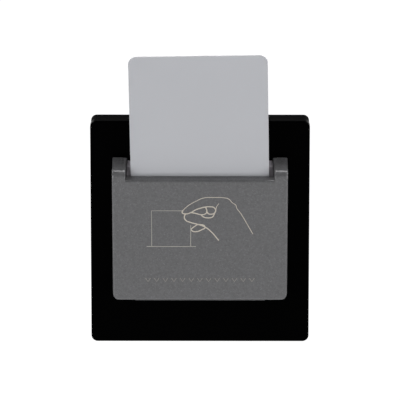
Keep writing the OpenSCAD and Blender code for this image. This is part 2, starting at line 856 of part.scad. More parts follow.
module pocket_screws() {
    len = web_back + plate_depth + pocket_screw_grip;
    color(zinc) for (p = pocket_screw_at) {
        to_room(p, web_back) pan_screw(len, pocket_screw_r, pocket_screw_head_r, pocket_screw_head_h);
    }
}

module light_guide() {
    color(clear_blue) {
        rod([led_x, led_z], guide_rod_r, guide_rod_front, guide_rod_back);
        rod([led_x, led_z], guide_collar_r, web_back, web_back + guide_collar_t);
    }
}

module push_slider() {
    color("whitesmoke") {
        in_pocket() translate([0, -card_out, 0]) {
            block(-pad_w / 2, pad_w / 2, -pad_d / 2, pad_d / 2, -pad_top_d - pad_t, -pad_top_d);
            block(-finger_w / 2, finger_w / 2, -head_half, head_half, -head_low_d, -pad_top_d);
            translate([0, 0, -stem_end_d]) cylinder(r = stem_r, h = stem_end_d - head_low_d + over);
        }
        block(-finger_w / 2, finger_w / 2, finger_front, finger_tip, finger_low, finger_top);
    }
}

// a point of the spring's tube: along the helix by turns, round the wire by an angle
function spring_point(turns, angle) =
    let (r = spring_r + spring_wire_r * cos(angle))
    let (z = spring_low + (spring_high - spring_low) * turns / spring_turns + spring_wire_r * sin(angle))
    [r * cos(360 * turns), r * sin(360 * turns) - card_out, z];

module slider_spring() {
    rings = spring_turns * spring_rings_per_turn;
    n = spring_sides;
    points = [for (i = [0:rings]) for (k = [0:n - 1])
        spring_point(i / spring_rings_per_turn, 360 * k / n)];
    skin = [for (i = [0:rings - 1]) for (k = [0:n - 1])
        let (a = i * n + k)
        let (b = i * n + (k + 1) % n)
        each [[a, b, b + n], [a, b + n, a + n]]];
    first_cap = [for (k = [1:n - 2]) [0, k + 1, k]];
    last_cap = [for (k = [1:n - 2]) [rings * n, rings * n + k, rings * n + k + 1]];
    echo(least_gap_between_turns = (spring_high - spring_low) / spring_turns - 2 * spring_wire_r);
    color(zinc) in_pocket() polyhedron(points, concat(skin, first_cap, last_cap));
}

module key_card() {
    color(card_grey) in_pocket() translate([0, card_t / 2 - card_out, -lip_drop]) rotate([90, -card_roll, 0])
        translate([0, card_h / 2 - card_insert, 0]) linear_extrude(card_t) round_rect(card_w, card_h, card_r);
}

module mounting_yoke() {
    fold_half = yoke_w / 2 - yoke_r;
    color(zinc) {
        difference() {
            slab(-yoke_t, 0) round_rect(yoke_w, yoke_h, yoke_r);
            slab(-yoke_t - over, over) {
                square([yoke_open, yoke_open], center = true);
                for (x = sides) {
                    translate([x * fixing_span / 2, 0]) round_slot(fixing_slide, fixing_r + pass_gap);
                    for (z = sides) {
                        translate([x * hook_span_x / 2, z * latch_z])
                            square([hook_w + 2 * side_gap, latch_high - latch_low], center = true);
                    }
                }
            }
            for (p = base_ear_at) rod(p, base_screw_r + pass_gap, -yoke_t - over, over);
        }
        for (z = sides) {
            block(-fold_half, fold_half, -yoke_t - yoke_fold, 0,
                z > 0 ? yoke_h / 2 - yoke_t : -yoke_h / 2, z > 0 ? yoke_h / 2 : yoke_t - yoke_h / 2);
        }
    }
}

module wall_screws() {
    color(zinc) for (x = sides) {
        at = [x * fixing_span / 2, 0];
        to_wall(at, -yoke_t) pan_screw(yoke_t + over, fixing_neck_r, screw_head_r, screw_head_h);
        rod(at, fixing_r, 0, fixing_len - yoke_t);
    }
}

module base_screws() {
    color(zinc) for (p = base_ear_at) {
        to_wall(p, -yoke_t) pan_screw(base_screw_len, base_screw_r, base_screw_head_r, base_screw_head_h);
    }
}

module insulating_cover() {
    w = base_w - base_wall - 2 * side_gap;
    h = base_h - base_wall - 2 * side_gap;
    color(base_white) difference() {
        slab(0, cover_t) round_rect(w, h, base_r - base_wall / 2);
        block(switch_x0 - side_gap, lever_end + 3 * side_gap, -over, cover_t + over, switch_low - side_gap,
            window_high);
        rod([led_x, led_z], led_r + pass_gap, -over, cover_t + over);
    }
}

module base_housing() {
    inner_w = base_w - 2 * base_wall;
    inner_h = base_h - 2 * base_wall;
    inner_r = base_r - base_wall;
    ledge_w = base_w - base_wall;
    ledge_h = base_h - base_wall;
    zone_front = bay_front - bay_wall;
    zone_top = bay_wall - bay_top;
    color(base_white) difference() {
        union() {
            difference() {
                slab(0, base_depth) round_rect(base_w, base_h, base_r);
                slab(-over, cover_t) round_rect(ledge_w, ledge_h, base_r - base_wall / 2);
                difference() {
                    slab(-over, base_depth - base_wall) round_rect(inner_w, inner_h, inner_r);
                    block(-base_w, base_w, zone_front, base_depth, -base_h, zone_top);
                }
            }
            for (x = sides) {
                rod([x * post_x, post_z], post_r, board_back, base_depth - base_wall / 2);
                rod([x * post_x, -post_z], post_r, board_back, bay_front);
            }
            for (p = base_ear_at) {
                rod(p, base_ear_r, 0, base_ear_d);
                block(min(p[0], sign(p[0]) * (base_w / 2 - base_wall / 2)),
                    max(p[0], sign(p[0]) * (base_w / 2 - base_wall / 2)),
                    0, base_ear_d, p[1] - base_ear_r, p[1] + base_ear_r);
            }
        }
        for (x = bay_x) {
            block(x - bay_half, x + bay_half, bay_front, base_depth + over, -base_h, -bay_top);
            tail_x = x + tail_shift - tail_w / 2;
            block(tail_x - side_gap, tail_x + tail_w + side_gap, zone_front - over, bay_front + over,
                tail_z - side_gap, tail_z + tail_t + side_gap);
        }
        for (p = base_ear_at) rod(p, base_screw_r + thread_gap, -over, base_screw_len + side_gap);
        for (p = board_screw_at) {
            rod(p, board_screw_r + thread_gap, board_back - over, board_in + board_screw_len + side_gap);
        }
        for (at = vent_at) {
            block(-base_w, base_w, vent_y - vent_l / 2, vent_y + vent_l / 2, at - vent_w / 2, at + vent_w / 2);
            block(at - vent_w / 2, at + vent_w / 2, vent_y - vent_l / 2, vent_y + vent_l / 2,
                base_h / 2 - base_wall - over, base_h);
        }
        slab(base_depth - recess_d, base_depth + over)
            translate([0, recess_z]) round_rect(recess_w, recess_h, base_r / 2);
    }
}

module circuit_board() {
    color(board_green) difference() {
        slab(board_in, board_back) round_rect(2 * board_half, 2 * board_half_z, board_r);
        for (p = all_leads) rod(p, lead_r + hole_gap, board_in - over, board_back + over);
        for (p = board_screw_at) rod(p, board_screw_r + pass_gap, board_in - over, board_back + over);
        for (x = switch_pin_x) {
            rod([x, switch_pin_z], switch_pin_w / 2 + hole_gap, board_in - over, board_back + over);
        }
        for (x = bay_x) {
            tail_x = x + tail_shift - tail_w / 2;
            block(tail_x - hole_gap, tail_x + tail_w + hole_gap, board_in - over, board_back + over,
                tail_z - hole_gap, tail_z + tail_t + hole_gap);
        }
    }
}

module board_screws() {
    color(zinc) for (p = board_screw_at) {
        to_wall(p, board_in)
            pan_screw(board_screw_len, board_screw_r, board_screw_head_r, board_screw_head_h);
    }
}

module switch_body() {
    color(switch_black) difference() {
        union() {
            block(switch_x0, switch_x0 + switch_l, switch_front, switch_back, switch_low, switch_top);
            for (y = [switch_front, switch_back - ear_t]) {
                block(pivot_x - ear_r, pivot_x + ear_r, y, y + ear_t, switch_top - over, pivot_z);
                rod([pivot_x, pivot_z], ear_r, y, y + ear_t);
            }
            for (x = switch_pin_x) {
                block(x - switch_pin_w / 2, x + switch_pin_w / 2, switch_back - over,
                    board_back + switch_pin_past, switch_pin_z - switch_pin_t / 2,
                    switch_pin_z + switch_pin_t / 2);
            }
        }
        rod([pivot_x, pivot_z], pin_r + run_gap / 2, switch_front - over, switch_back + over);
        for (x = sides) {
            rod([switch_mid_x + x * switch_hole_span / 2, switch_hole_z], switch_hole_r, switch_front - over,
                switch_back + over);
        }
        translate([button_x, switch_mid_y, switch_top - button_in - side_gap])
            cylinder(r = button_r + run_gap, h = button_in + over);
    }
}

module switch_lever() {
    color(zinc) difference() {
        union() {
            block(pivot_x, lever_end, lever_y0, lever_y0 + lever_w, lever_low, lever_top);
            rod([pivot_x, pivot_z], eye_r, lever_y0, lever_y0 + lever_w);
        }
        rod([pivot_x, pivot_z], pin_r + run_gap, lever_y0 - over, lever_y0 + lever_w + over);
    }
}

module lever_pin() {
    color(zinc) rod([pivot_x, pivot_z], pin_r, switch_front, switch_back);
}

module switch_button() {
    color("firebrick") translate([button_x, switch_mid_y, switch_top - button_in])
        cylinder(r = button_r, h = button_in + lever_lift - button_gap);
}

module indicator_led() {
    dome_y = board_in - led_len + led_r;
    color("limegreen") {
        rod([led_x, led_z], led_flange_r, board_in - led_flange_t, board_in);
        rod([led_x, led_z], led_r, dome_y, board_in);
        translate([led_x, dome_y, led_z]) sphere(r = led_r);
        for (p = led_leads) rod(p, lead_r, board_in - led_flange_t / 2, board_back + led_flange_t);
    }
}

module relay() {
    x = relay_at[0];
    z = relay_at[1];
    color(relay_blue) {
        block(x, x + relay_size[0], part_y, part_y + relay_foot, z, z + relay_size[2]);
        block(x + relay_step, x + relay_size[0] - relay_step, part_y, part_y + relay_size[1], z + relay_step,
            z + relay_size[2] - relay_step);
        leads(relay_leads);
    }
}

module film_capacitor() {
    color("gold") {
        block(film_at[0], film_at[0] + film_size[0], part_y, part_y + film_size[1], film_at[1],
            film_at[1] + film_size[2]);
        leads(film_leads);
    }
}

// an upright can with a crimped groove near the board
module electrolytic_capacitor() {
    groove_at = can_h / 6;
    color(can_navy) {
        translate([can_at[0], part_y, can_at[1]]) rotate([-90, 0, 0]) difference() {
            cylinder(r = can_r, h = can_h);
            translate([0, 0, groove_at]) rotate_extrude() translate([can_r, 0]) circle(r = can_groove);
        }
        leads(can_leads);
    }
}

// a round-edged disc that stands on its two leads
module varistor() {
    edge = disc_t / 2;
    middle_y = part_y + disc_lift + disc_r;
    color("steelblue") {
        translate([disc_at[0], middle_y, disc_at[1]]) {
            cylinder(r = disc_r - edge, h = disc_t, center = true);
            rotate_extrude() translate([disc_r - edge, 0]) circle(r = edge);
        }
        leads(disc_leads, middle_y);
    }
}

module fuse() {
    color(fuse_brown) {
        rod(fuse_at, fuse_r, part_y, part_y + fuse_h);
        leads(fuse_leads);
    }
}

module rectifier() {
    x = bridge_at[0];
    z = bridge_at[1];
    lead_y = part_y + bridge_size[1] / 2;
    color(chip_black) {
        block(x - bridge_size[0] / 2, x + bridge_size[0] / 2, part_y, part_y + bridge_size[1],
            z - bridge_size[2] / 2, z + bridge_size[2] / 2);
        leads(bridge_leads, lead_y);
        for (p = bridge_leads) {
            block(p[0] - lead_r, p[0] + lead_r, lead_y - lead_r, lead_y + lead_r, min(p[1], z), max(p[1], z));
        }
    }
}

module resistors() {
    cap_r = resistor_r + resistor_bulge;
    axis_y = part_y + cap_r;
    color(resistor_tan) {
        for (p = resistor_at) {
            translate([p[0] - resistor_l / 2, axis_y, p[1]]) rotate([0, 90, 0]) {
                cylinder(r = resistor_r, h = resistor_l);
                for (end = [0, resistor_l - resistor_cap]) translate([0, 0, end])
                    cylinder(r = cap_r, h = resistor_cap);
            }
            translate([p[0] - resistor_span / 2 - lead_r, axis_y, p[1]]) rotate([0, 90, 0])
                cylinder(r = lead_r, h = resistor_span + 2 * lead_r);
        }
        leads(resistor_leads, axis_y);
    }
}

// a small flat chip with four feet along each long side
module control_chip() {
    x = chip_at[0];
    z = chip_at[1];
    low_y = board_back + chip_foot_t / 2;
    foot_z = chip_size[2] / 2 + chip_foot;
    first_x = x - (chip_feet - 1) / 2 * chip_pitch - chip_lead_w / 2;
    color(chip_black) {
        block(x - chip_size[0] / 2, x + chip_size[0] / 2, low_y, low_y + chip_size[1], z - chip_size[2] / 2,
            z + chip_size[2] / 2);
        for (i = [0:chip_feet - 1]) {
            foot_x = first_x + i * chip_pitch;
            block(foot_x, foot_x + chip_lead_w, board_back, board_back + chip_foot_t, z - foot_z, z + foot_z);
        }
    }
}

// a brass pillar: wire hole from below, clamping screw from behind, and a flat tail to the board
module pillar(x) {
    tail_x = x + tail_shift - tail_w / 2;
    color(brass) difference() {
        union() {
            block(x - pillar_w / 2, x + pillar_w / 2, pillar_front, pillar_front + pillar_d,
                pillar_top - pillar_h, pillar_top);
            block(tail_x, tail_x + tail_w, lead_end, pillar_front + over, tail_z, tail_z + tail_t);
        }
        translate([x, wire_y, pillar_top - pillar_h - over]) cylinder(r = wire_r, h = pillar_h + 2 * over);
        rod([x, pillar_mid_z], clamp_r + thread_gap, wire_y, pillar_front + pillar_d + over);
    }
}

module line_terminal() {
    pillar(bay_x[0]);
}

module neutral_terminal() {
    pillar(bay_x[1]);
}

module load_terminal() {
    pillar(bay_x[2]);
}

module terminal_screws() {
    head_at = pillar_front + pillar_d + clamp_gap;
    color(zinc) for (x = bay_x) {
        to_room([x, pillar_mid_z], head_at) pan_screw(clamp_len, clamp_r, clamp_head_r, clamp_head_h);
    }
}

front_panel();
panel_tape();
fascia_frame();
pocket_cover();
card_guide();
pocket_screws();
light_guide();
push_slider();
slider_spring();
key_card();
mounting_yoke();
wall_screws();
base_screws();
insulating_cover();
base_housing();
circuit_board();
board_screws();
switch_body();
switch_lever();
lever_pin();
switch_button();
indicator_led();
relay();
film_capacitor();
electrolytic_capacitor();
varistor();
fuse();
rectifier();
resistors();
control_chip();
line_terminal();
neutral_terminal();
load_terminal();
terminal_screws();
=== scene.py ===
import json
import math
import bmesh
import bpy
from mathutils import Matrix, Vector


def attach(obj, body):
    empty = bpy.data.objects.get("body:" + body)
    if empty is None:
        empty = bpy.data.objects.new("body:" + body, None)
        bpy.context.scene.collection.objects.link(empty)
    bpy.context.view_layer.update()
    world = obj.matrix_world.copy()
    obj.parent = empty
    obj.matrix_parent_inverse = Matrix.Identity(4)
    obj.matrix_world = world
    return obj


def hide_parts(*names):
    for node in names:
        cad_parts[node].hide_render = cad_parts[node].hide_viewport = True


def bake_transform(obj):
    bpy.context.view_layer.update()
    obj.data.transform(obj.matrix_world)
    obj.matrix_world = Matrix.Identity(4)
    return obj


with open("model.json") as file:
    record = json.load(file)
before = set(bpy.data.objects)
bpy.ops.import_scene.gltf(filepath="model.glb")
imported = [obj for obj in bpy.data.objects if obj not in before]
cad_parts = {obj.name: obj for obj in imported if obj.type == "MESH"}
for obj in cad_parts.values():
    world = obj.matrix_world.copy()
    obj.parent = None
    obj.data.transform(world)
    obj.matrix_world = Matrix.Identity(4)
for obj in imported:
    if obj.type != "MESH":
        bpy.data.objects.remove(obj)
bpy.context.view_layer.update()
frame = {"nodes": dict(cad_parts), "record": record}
nodes = frame["nodes"]
scene = bpy.context.scene
mm = 0.001
weldGap = 1e-6  # in metres: points that are closer become one
print("frame loaded:", len(nodes), "nodes")


def addObject(name, data):
    thing = bpy.data.objects.new(name, data)
    scene.collection.objects.link(thing)
    return thing


def newMesh(name, shape):
    mesh = bpy.data.meshes.new(name)
    shape.to_mesh(mesh)
    shape.free()
    return mesh


def wholeOf(shape):
    return shape.verts[:] + shape.edges[:] + shape.faces[:]


# camera first: a long lens, a little above the plate
cameraLook = {"azimuth": 0.18, "elevation": 17.4, "distance": 1.9, "lens": 435.4, "sensor": 36,
    "target": (0, -0.010, 0.01326)}


def addCamera(look):
    data = bpy.data.cameras.new("camera")
    data.lens = look["lens"]
    data.sensor_width = look["sensor"]
    camera = addObject("camera", data)
    around, above = math.radians(look["azimuth"]), math.radians(look["elevation"])
    back = Vector((math.sin(around) * math.cos(above), -math.cos(around) * math.cos(above), math.sin(above)))
    camera.location = Vector(look["target"]) + back * look["distance"]
    camera.rotation_euler = (-back).to_track_quat("-Z", "Y").to_euler()
    scene.camera = camera


addCamera(cameraLook)
scene.view_settings.view_transform = "Standard"

# the pocket's own place: its lugs' top edge at the plate, leaning out, sizes in mm
pocketLook = {"lean": 8, "plateFront": 10.0, "top": 30.7, "depth": 14.2, "lipDown": 3.5, "splay": 0.6,
    "cardOut": 9.3}
lean = math.radians(pocketLook["lean"])
pocketTop = Vector((0, -pocketLook["plateFront"] * mm, pocketLook["top"] * mm))
pocketPlace = Matrix.Translation(pocketTop) @ Matrix.Rotation(lean, 4, "X")
inPocket = pocketPlace.inverted()


class Wire:  # a shader socket that can stand in a sum
    def __init__(self, paint, socket):
        self.paint = paint
        self.socket = socket

    def calc(self, operation, first, second):
        return self.paint.add("ShaderNodeMath", {"operation": operation}, {0: first, 1: second})

    def __add__(self, other):
        return self.calc("ADD", self, other)

    def __radd__(self, other):
        return self.calc("ADD", other, self)

    def __sub__(self, other):
        return self.calc("SUBTRACT", self, other)

    def __rsub__(self, other):
        return self.calc("SUBTRACT", other, self)

    def __mul__(self, other):
        return self.calc("MULTIPLY", self, other)

    def __rmul__(self, other):
        return self.calc("MULTIPLY", other, self)

    def __gt__(self, other):
        return self.calc("GREATER_THAN", self, other)

    def __lt__(self, other):
        return self.calc("LESS_THAN", self, other)


class Paint:  # the nodes of one finish, or of the room
    def __init__(self, name, sockets, room=False):
        self.owner = (bpy.data.worlds if room else bpy.data.materials).new(name)
        self.owner.use_nodes = True
        self.tree = self.owner.node_tree
        self.surface = self.tree.nodes["Background" if room else "Principled BSDF"]
        self.fill(self.surface, sockets)
        self.place = self.add("ShaderNodeTexCoord", out="Generated" if room else "Object")

    def fill(self, node, sockets):
        for key, value in sockets.items():
            socket = node.inputs[key]
            if isinstance(value, Wire):
                self.tree.links.new(value.socket, socket)
            elif socket.type == "RGBA":
                socket.default_value = (*value, 1)
            else:
                socket.default_value = value

    def add(self, kind, settings=None, sockets=None, out=0):
        node = self.tree.nodes.new(kind)
        for key, value in (settings or {}).items():
            if key == "stops":
                for i, (at, colour) in enumerate(value):
                    stop = node.color_ramp.elements[i] if i < 2 else node.color_ramp.elements.new(at)
                    stop.position, stop.color = at, (*colour, 1)
            else:
                setattr(node, key, value)
        self.fill(node, sockets or {})
        if isinstance(out, tuple):
            return [Wire(self, node.outputs[key]) for key in out]
        return Wire(self, node.outputs[out])

    def finish(self, **sockets):
        self.fill(self.surface, {key.replace("_", " "): value for key, value in sockets.items()})
        return self.owner

    def turned(self, scale, turn=(0, 0, 0)):
        return self.add("ShaderNodeMapping", {}, {"Vector": self.place, "Scale": scale, "Rotation": turn})

    def noise(self, scale, detail, at=None, rough=0.5):
        return self.add("ShaderNodeTexNoise", {}, {"Vector": at or self.place, "Scale": scale,
            "Detail": detail, "Roughness": rough})

    def cells(self, scale, out):
        return self.add("ShaderNodeTexVoronoi", {}, {"Vector": self.place, "Scale": scale}, out)

    def spread(self, value, low, high, to=(0.0, 1.0)):
        return self.add("ShaderNodeMapRange", {}, {"Value": value, "From Min": low, "From Max": high,
            "To Min": to[0], "To Max": to[1]})

    def mix(self, first, second, share):
        return self.add("ShaderNodeMix", {"data_type": "RGBA"}, {0: share, 6: first, 7: second}, 2)

    def tones(self, colour, shares, mask):
        return self.mix(shade(colour, shares[0]), shade(colour, shares[1]), mask)

    def axes(self, at=None):
        return self.add("ShaderNodeSeparateXYZ", {}, {0: at or self.place}, ("X", "Y", "Z"))

    def relief(self, height, depth):
        return self.add("ShaderNodeBump", {}, {"Height": height, "Distance": depth * mm, "Strength": 1.0})

    def seen(self):  # what the camera sees, straight or in metal and glass
        camera, mirrored, passed = self.add("ShaderNodeLightPath", out=("Is Camera Ray", "Is Glossy Ray",
            "Is Transmission Ray"))
        return self.spread(camera + mirrored + passed, 0, 1)


def shade(colour, share):
    return tuple(channel * share for channel in colour)


def swing(wave, amount):
    return (wave - 0.5) * amount  # noise keeps to both sides of a half


# moulded plastics: tone clouds, a spark-eroded grain and a few rub marks, depths in mm
mouldLook = {"cloud": 140, "cloudTones": (0.93, 1.07), "cloudGloss": 0.12, "grainRough": 0.6, "rubs": 260,
    "rubStretch": (1, 1, 5), "rubTurn": (0.3, 0.5, 0.2), "rubRange": (0.62, 0.74), "rubTone": 1.12,
    "rubShare": 0.35, "rubGloss": 0.05}
plasticLooks = {
    "frame_black": {"colour": (0.0014, 0.0014, 0.0015), "rough": 0.55, "grain": 2600, "depth": 0.012,
        "shine": 0.004},
    "guide_grey": {"colour": (0.165, 0.155, 0.169), "rough": 0.50, "grain": 2200, "depth": 0.010,
        "shine": 0.25},
    "slider_white": {"colour": (0.72, 0.71, 0.68), "rough": 0.38, "grain": 1500, "depth": 0.005,
        "shine": 0.45},
    "base_white": {"colour": (0.60, 0.595, 0.572), "rough": 0.46, "grain": 1900, "depth": 0.012,
        "shine": 0.4},
    "switch_black": {"colour": (0.014, 0.014, 0.015), "rough": 0.42, "grain": 2400, "depth": 0.008,
        "shine": 0.4},
    "button_red": {"colour": (0.42, 0.020, 0.018), "rough": 0.34, "grain": 3000, "depth": 0.003,
        "shine": 0.5},
    "relay_blue": {"colour": (0.012, 0.050, 0.19), "rough": 0.36, "grain": 1600, "depth": 0.006,
        "shine": 0.5},
    "film_yellow": {"colour": (0.58, 0.38, 0.020), "rough": 0.30, "grain": 1200, "depth": 0.004,
        "shine": 0.5},
    "fuse_brown": {"colour": (0.070, 0.020, 0.010), "rough": 0.40, "grain": 1700, "depth": 0.006,
        "shine": 0.45},
    "disc_blue": {"colour": (0.030, 0.090, 0.26), "rough": 0.33, "grain": 900, "depth": 0.012,
        "shine": 0.5},
    "chip_black": {"colour": (0.011, 0.011, 0.012), "rough": 0.62, "grain": 5200, "depth": 0.010,
        "shine": 0.35},
    "tape_grey": {"colour": (0.075, 0.075, 0.078), "rough": 0.75, "grain": 1400, "depth": 0.020,
        "shine": 0.25},
}


def mouldedPlastic(name, look, mould):
    paint = Paint(name, {"Specular IOR Level": look["shine"]})
    cloud = paint.noise(mould["cloud"], detail=3)
    grain = paint.noise(look["grain"], detail=2, rough=mould["grainRough"])
    streaks = paint.noise(mould["rubs"], detail=4, at=paint.turned(mould["rubStretch"], mould["rubTurn"]))
    rubs = paint.spread(streaks, *mould["rubRange"])
    tone = paint.tones(look["colour"], mould["cloudTones"], cloud)
    tone = paint.mix(tone, shade(look["colour"], mould["rubTone"]), rubs * mould["rubShare"])
    rough = swing(cloud, mould["cloudGloss"]) + (look["rough"] - rubs * mould["rubGloss"])
    return paint.finish(Base_Color=tone, Roughness=rough, Normal=paint.relief(grain, look["depth"]))


# acrylic panel, black all through, with a few specks and faint wiping marks in its gloss
panelLook = {"colour": (0.0003, 0.0003, 0.00035), "rough": 0.14, "shine": 0.005, "wipes": 55,
    "wipeStretch": (1, 1, 4), "wipeTurn": (0, 0.7, 0), "wipeRange": (0.35, 0.75), "wipeGloss": (0.7, 1.5),
    "specks": 900, "speckRange": (0.05, 0.02), "speckTone": 2.2, "speckShare": 0.4, "waves": 45,
    "depth": 0.02}


def panelGloss(look):
    paint = Paint("gloss_black", {"Specular IOR Level": look["shine"]})
    wipes = paint.noise(look["wipes"], detail=4, at=paint.turned(look["wipeStretch"], look["wipeTurn"]))
    specks = paint.spread(paint.cells(look["specks"], "Distance"), *look["speckRange"])
    waves = paint.noise(look["waves"], detail=1)
    tone = paint.tones(look["colour"], (1, look["speckTone"]), specks * look["speckShare"])
    wiped = paint.spread(wipes, *look["wipeRange"], [look["rough"] * share for share in look["wipeGloss"]])
    return paint.finish(Base_Color=tone, Roughness=wiped, Normal=paint.relief(waves, look["depth"]))


# silver-grey lacquer: fine metal flakes of different brightness in a satin coat, and a few flakes with a
# painted glint in their colour
coverLook = {"colour": (0.091, 0.091, 0.094), "rough": 0.40, "shine": 0.12, "metal": 0.35, "coat": 0.30,
    "coatRough": 0.20, "flakes": 3300, "coarse": 0.42, "flakeTones": (0.80, 1.20), "coarseGloss": 0.16,
    "glint": 0.965, "paintedGlintTone": 2.1, "paintedGlintShare": 0.35, "bare": 0.9, "bareMetal": 0.35, "cloud": 70,
    "cloudTone": 1.05, "cloudShare": 0.25, "peel": 1500, "flakePeel": 0.5, "depth": 0.004}


def flakeLacquer(look):
    paint = Paint("pocket_grey", {"Specular IOR Level": look["shine"], "Coat Weight": look["coat"],
        "Coat Roughness": look["coatRough"]})
    flake = paint.axes(paint.cells(look["flakes"], "Color"))
    coarse = paint.axes(paint.cells(look["flakes"] * look["coarse"], "Color"))
    cloud = paint.noise(look["cloud"], detail=3)
    peel = paint.noise(look["peel"], detail=2)
    # painted glint: the brightest few flakes get a lighter colour, so they sparkle under any lamp
    paintedGlints = (flake[1] > look["glint"]) * look["paintedGlintShare"]
    tone = paint.tones(look["colour"], look["flakeTones"], flake[0] * 0.5 + coarse[1] * 0.5)
    tone = paint.mix(tone, shade(look["colour"], look["paintedGlintTone"]), paintedGlints)
    tone = paint.mix(tone, shade(look["colour"], look["cloudTone"]), cloud * look["cloudShare"])
    return paint.finish(Base_Color=tone, Roughness=look["rough"] + swing(coarse[2], look["coarseGloss"]),
        Metallic=look["metal"] + (flake[2] > look["bare"]) * look["bareMetal"],
        Normal=paint.relief(peel + flake[0] * look["flakePeel"], look["depth"]))


# plain laminated card: satin overlays, and between them a whiter core that shows along the card's edge
cardLook = {"colour": (0.404, 0.410, 0.433), "core": (0.60, 0.60, 0.61), "coreHalf": 0.24, "rough": 0.36,
    "shine": 0.25, "cloud": 45, "cloudTones": (0.985, 1.015), "fibre": 900, "fibreGloss": 0.10, "hair": 420,
    "hairStretch": (1, 1, 0.02), "hairTurn": (0.1, 0.35, 0), "hairRange": (0.71, 0.76), "hairGloss": 0.08,
    "depth": 0.002}


def cardLaminate(look):
    paint = Paint("card_grey", {"Specular IOR Level": look["shine"]})
    fibre = paint.noise(look["fibre"], detail=3)
    cloud = paint.noise(look["cloud"], detail=2)
    strands = paint.noise(look["hair"], detail=2, at=paint.turned(look["hairStretch"], look["hairTurn"]))
    hair = paint.spread(strands, *look["hairRange"])
    _, y, z = paint.axes()
    middle = pocketPlace @ Vector((0, -pocketLook["cardOut"] * mm, 0))
    across = (y - middle.y) * math.cos(lean) + (z - middle.z) * math.sin(lean)
    core = across * across < (look["coreHalf"] * mm) ** 2
    tone = paint.tones(look["colour"], look["cloudTones"], cloud)
    tone = paint.mix(tone, look["core"], core)
    rough = look["rough"] + swing(fibre, look["fibreGloss"]) + hair * look["hairGloss"]
    return paint.finish(Base_Color=tone, Roughness=rough, Normal=paint.relief(fibre, look["depth"]))


# zinc plated steel: spangled tone, rolling lines and a little tarnish
steelLook = {"colour": (0.53, 0.54, 0.56), "warm": (0.50, 0.485, 0.42), "rough": 0.37, "spangle": 420,
    "spangleTones": (0.92, 1.06), "lines": 700, "lineStretch": (0.05, 1, 1), "lineGloss": 0.18, "tarnish": 90,
    "tarnishRange": (0.45, 0.75), "tarnishShare": 0.45, "tarnishGloss": 0.08, "depth": 0.004}


def platedSteel(look):
    paint = Paint("zinc_steel", {"Metallic": 1.0})
    spangle = paint.axes(paint.cells(look["spangle"], "Color"))
    lines = paint.noise(look["lines"], detail=3, at=paint.turned(look["lineStretch"]))
    tarnish = paint.spread(paint.noise(look["tarnish"], detail=4), *look["tarnishRange"])
    tone = paint.tones(look["colour"], look["spangleTones"], spangle[0])
    tone = paint.mix(tone, look["warm"], tarnish * look["tarnishShare"])
    rough = look["rough"] + swing(lines, look["lineGloss"]) + tarnish * look["tarnishGloss"]
    return paint.finish(Base_Color=tone, Roughness=rough, Normal=paint.relief(lines, look["depth"]))


# turned brass with tool marks, darker where it has tarnished
brassLook = {"colour": (0.62, 0.42, 0.13), "dark": (0.34, 0.21, 0.07), "rough": 0.30, "cuts": 1600,
    "cutStretch": (1, 0.05, 1), "cutGloss": 0.12, "tarnish": 160, "tarnishRange": (0.48, 0.72),
    "tarnishShare": 0.5, "tarnishGloss": 0.18, "depth": 0.005}


def turnedBrass(look):
    paint = Paint("brass", {"Metallic": 1.0})
    cuts = paint.noise(look["cuts"], detail=2, at=paint.turned(look["cutStretch"]))
    tarnish = paint.spread(paint.noise(look["tarnish"], detail=4), *look["tarnishRange"])
    tone = paint.mix(look["colour"], look["dark"], tarnish * look["tarnishShare"])
    rough = look["rough"] + tarnish * look["tarnishGloss"] + swing(cuts, look["cutGloss"])
    return paint.finish(Base_Color=tone, Roughness=rough, Normal=paint.relief(cuts, look["depth"]))


# clear and lit plastics, with faint swirls from moulding
swirlLook = {"clear": 0.85, "bend": 1.49, "swirl": 300, "rough": 0.06, "swirlGloss": 0.08, "depth": 0.004}
clearLooks = {
    "clear_plastic": {"colour": (0.86, 0.92, 0.94), "tint": (0.92, 0.95, 0.96), "glow": 0.0},
    "led_green": {"colour": (0.10, 0.62, 0.16), "tint": (0.20, 0.80, 0.26), "glow": 0.4},
}


def clearPlastic(name, look, mould):
    paint = Paint(name, {"Transmission Weight": mould["clear"], "IOR": mould["bend"],
        "Emission Strength": look["glow"]})
    swirl = paint.noise(mould["swirl"], detail=3)
    return paint.finish(Base_Color=paint.mix(look["colour"], look["tint"], swirl),
        Roughness=mould["rough"] + swirl * mould["swirlGloss"],
        Emission_Color=paint.mix(look["tint"], look["colour"], swirl),
        Normal=paint.relief(swirl, mould["depth"]))


# solder mask over raised copper tracks and the board's weave
boardLook = {"mask": (0.006, 0.090, 0.030), "track": (0.012, 0.150, 0.050), "cloth": (0.010, 0.110, 0.038),
    "rough": 0.30, "shine": 0.5, "weave": 1800, "weaveShare": 0.3, "weaveGloss": 0.12, "lanes": 180,
    "laneStretch": (1, 1, 0.25), "trackStart": (0.52, 0.54), "trackEnd": (0.62, 0.60), "depth": 0.03}


def solderMask(look):
    paint = Paint("board_green", {"Specular IOR Level": look["shine"]})
    weave = paint.noise(look["weave"], detail=2)
    lanes = paint.noise(look["lanes"], detail=0, at=paint.turned(look["laneStretch"]))
    tracks = paint.spread(lanes, *look["trackStart"]) * paint.spread(lanes, *look["trackEnd"])
    tone = paint.mix(look["mask"], look["track"], tracks)
    tone = paint.mix(tone, look["cloth"], weave * look["weaveShare"])
    return paint.finish(Base_Color=tone, Roughness=look["rough"] + weave * look["weaveGloss"],
        Normal=paint.relief(tracks, look["depth"]))


# shrink sleeve of the capacitor: a pale stripe down one side
sleeveLook = {"colour": (0.012, 0.014, 0.034), "pale": (0.42, 0.44, 0.48), "stripeEnd": 4.6,
    "stripeShare": 0.9, "rough": 0.28, "shine": 0.5, "crease": 600, "creaseGloss": 0.14, "depth": 0.01}


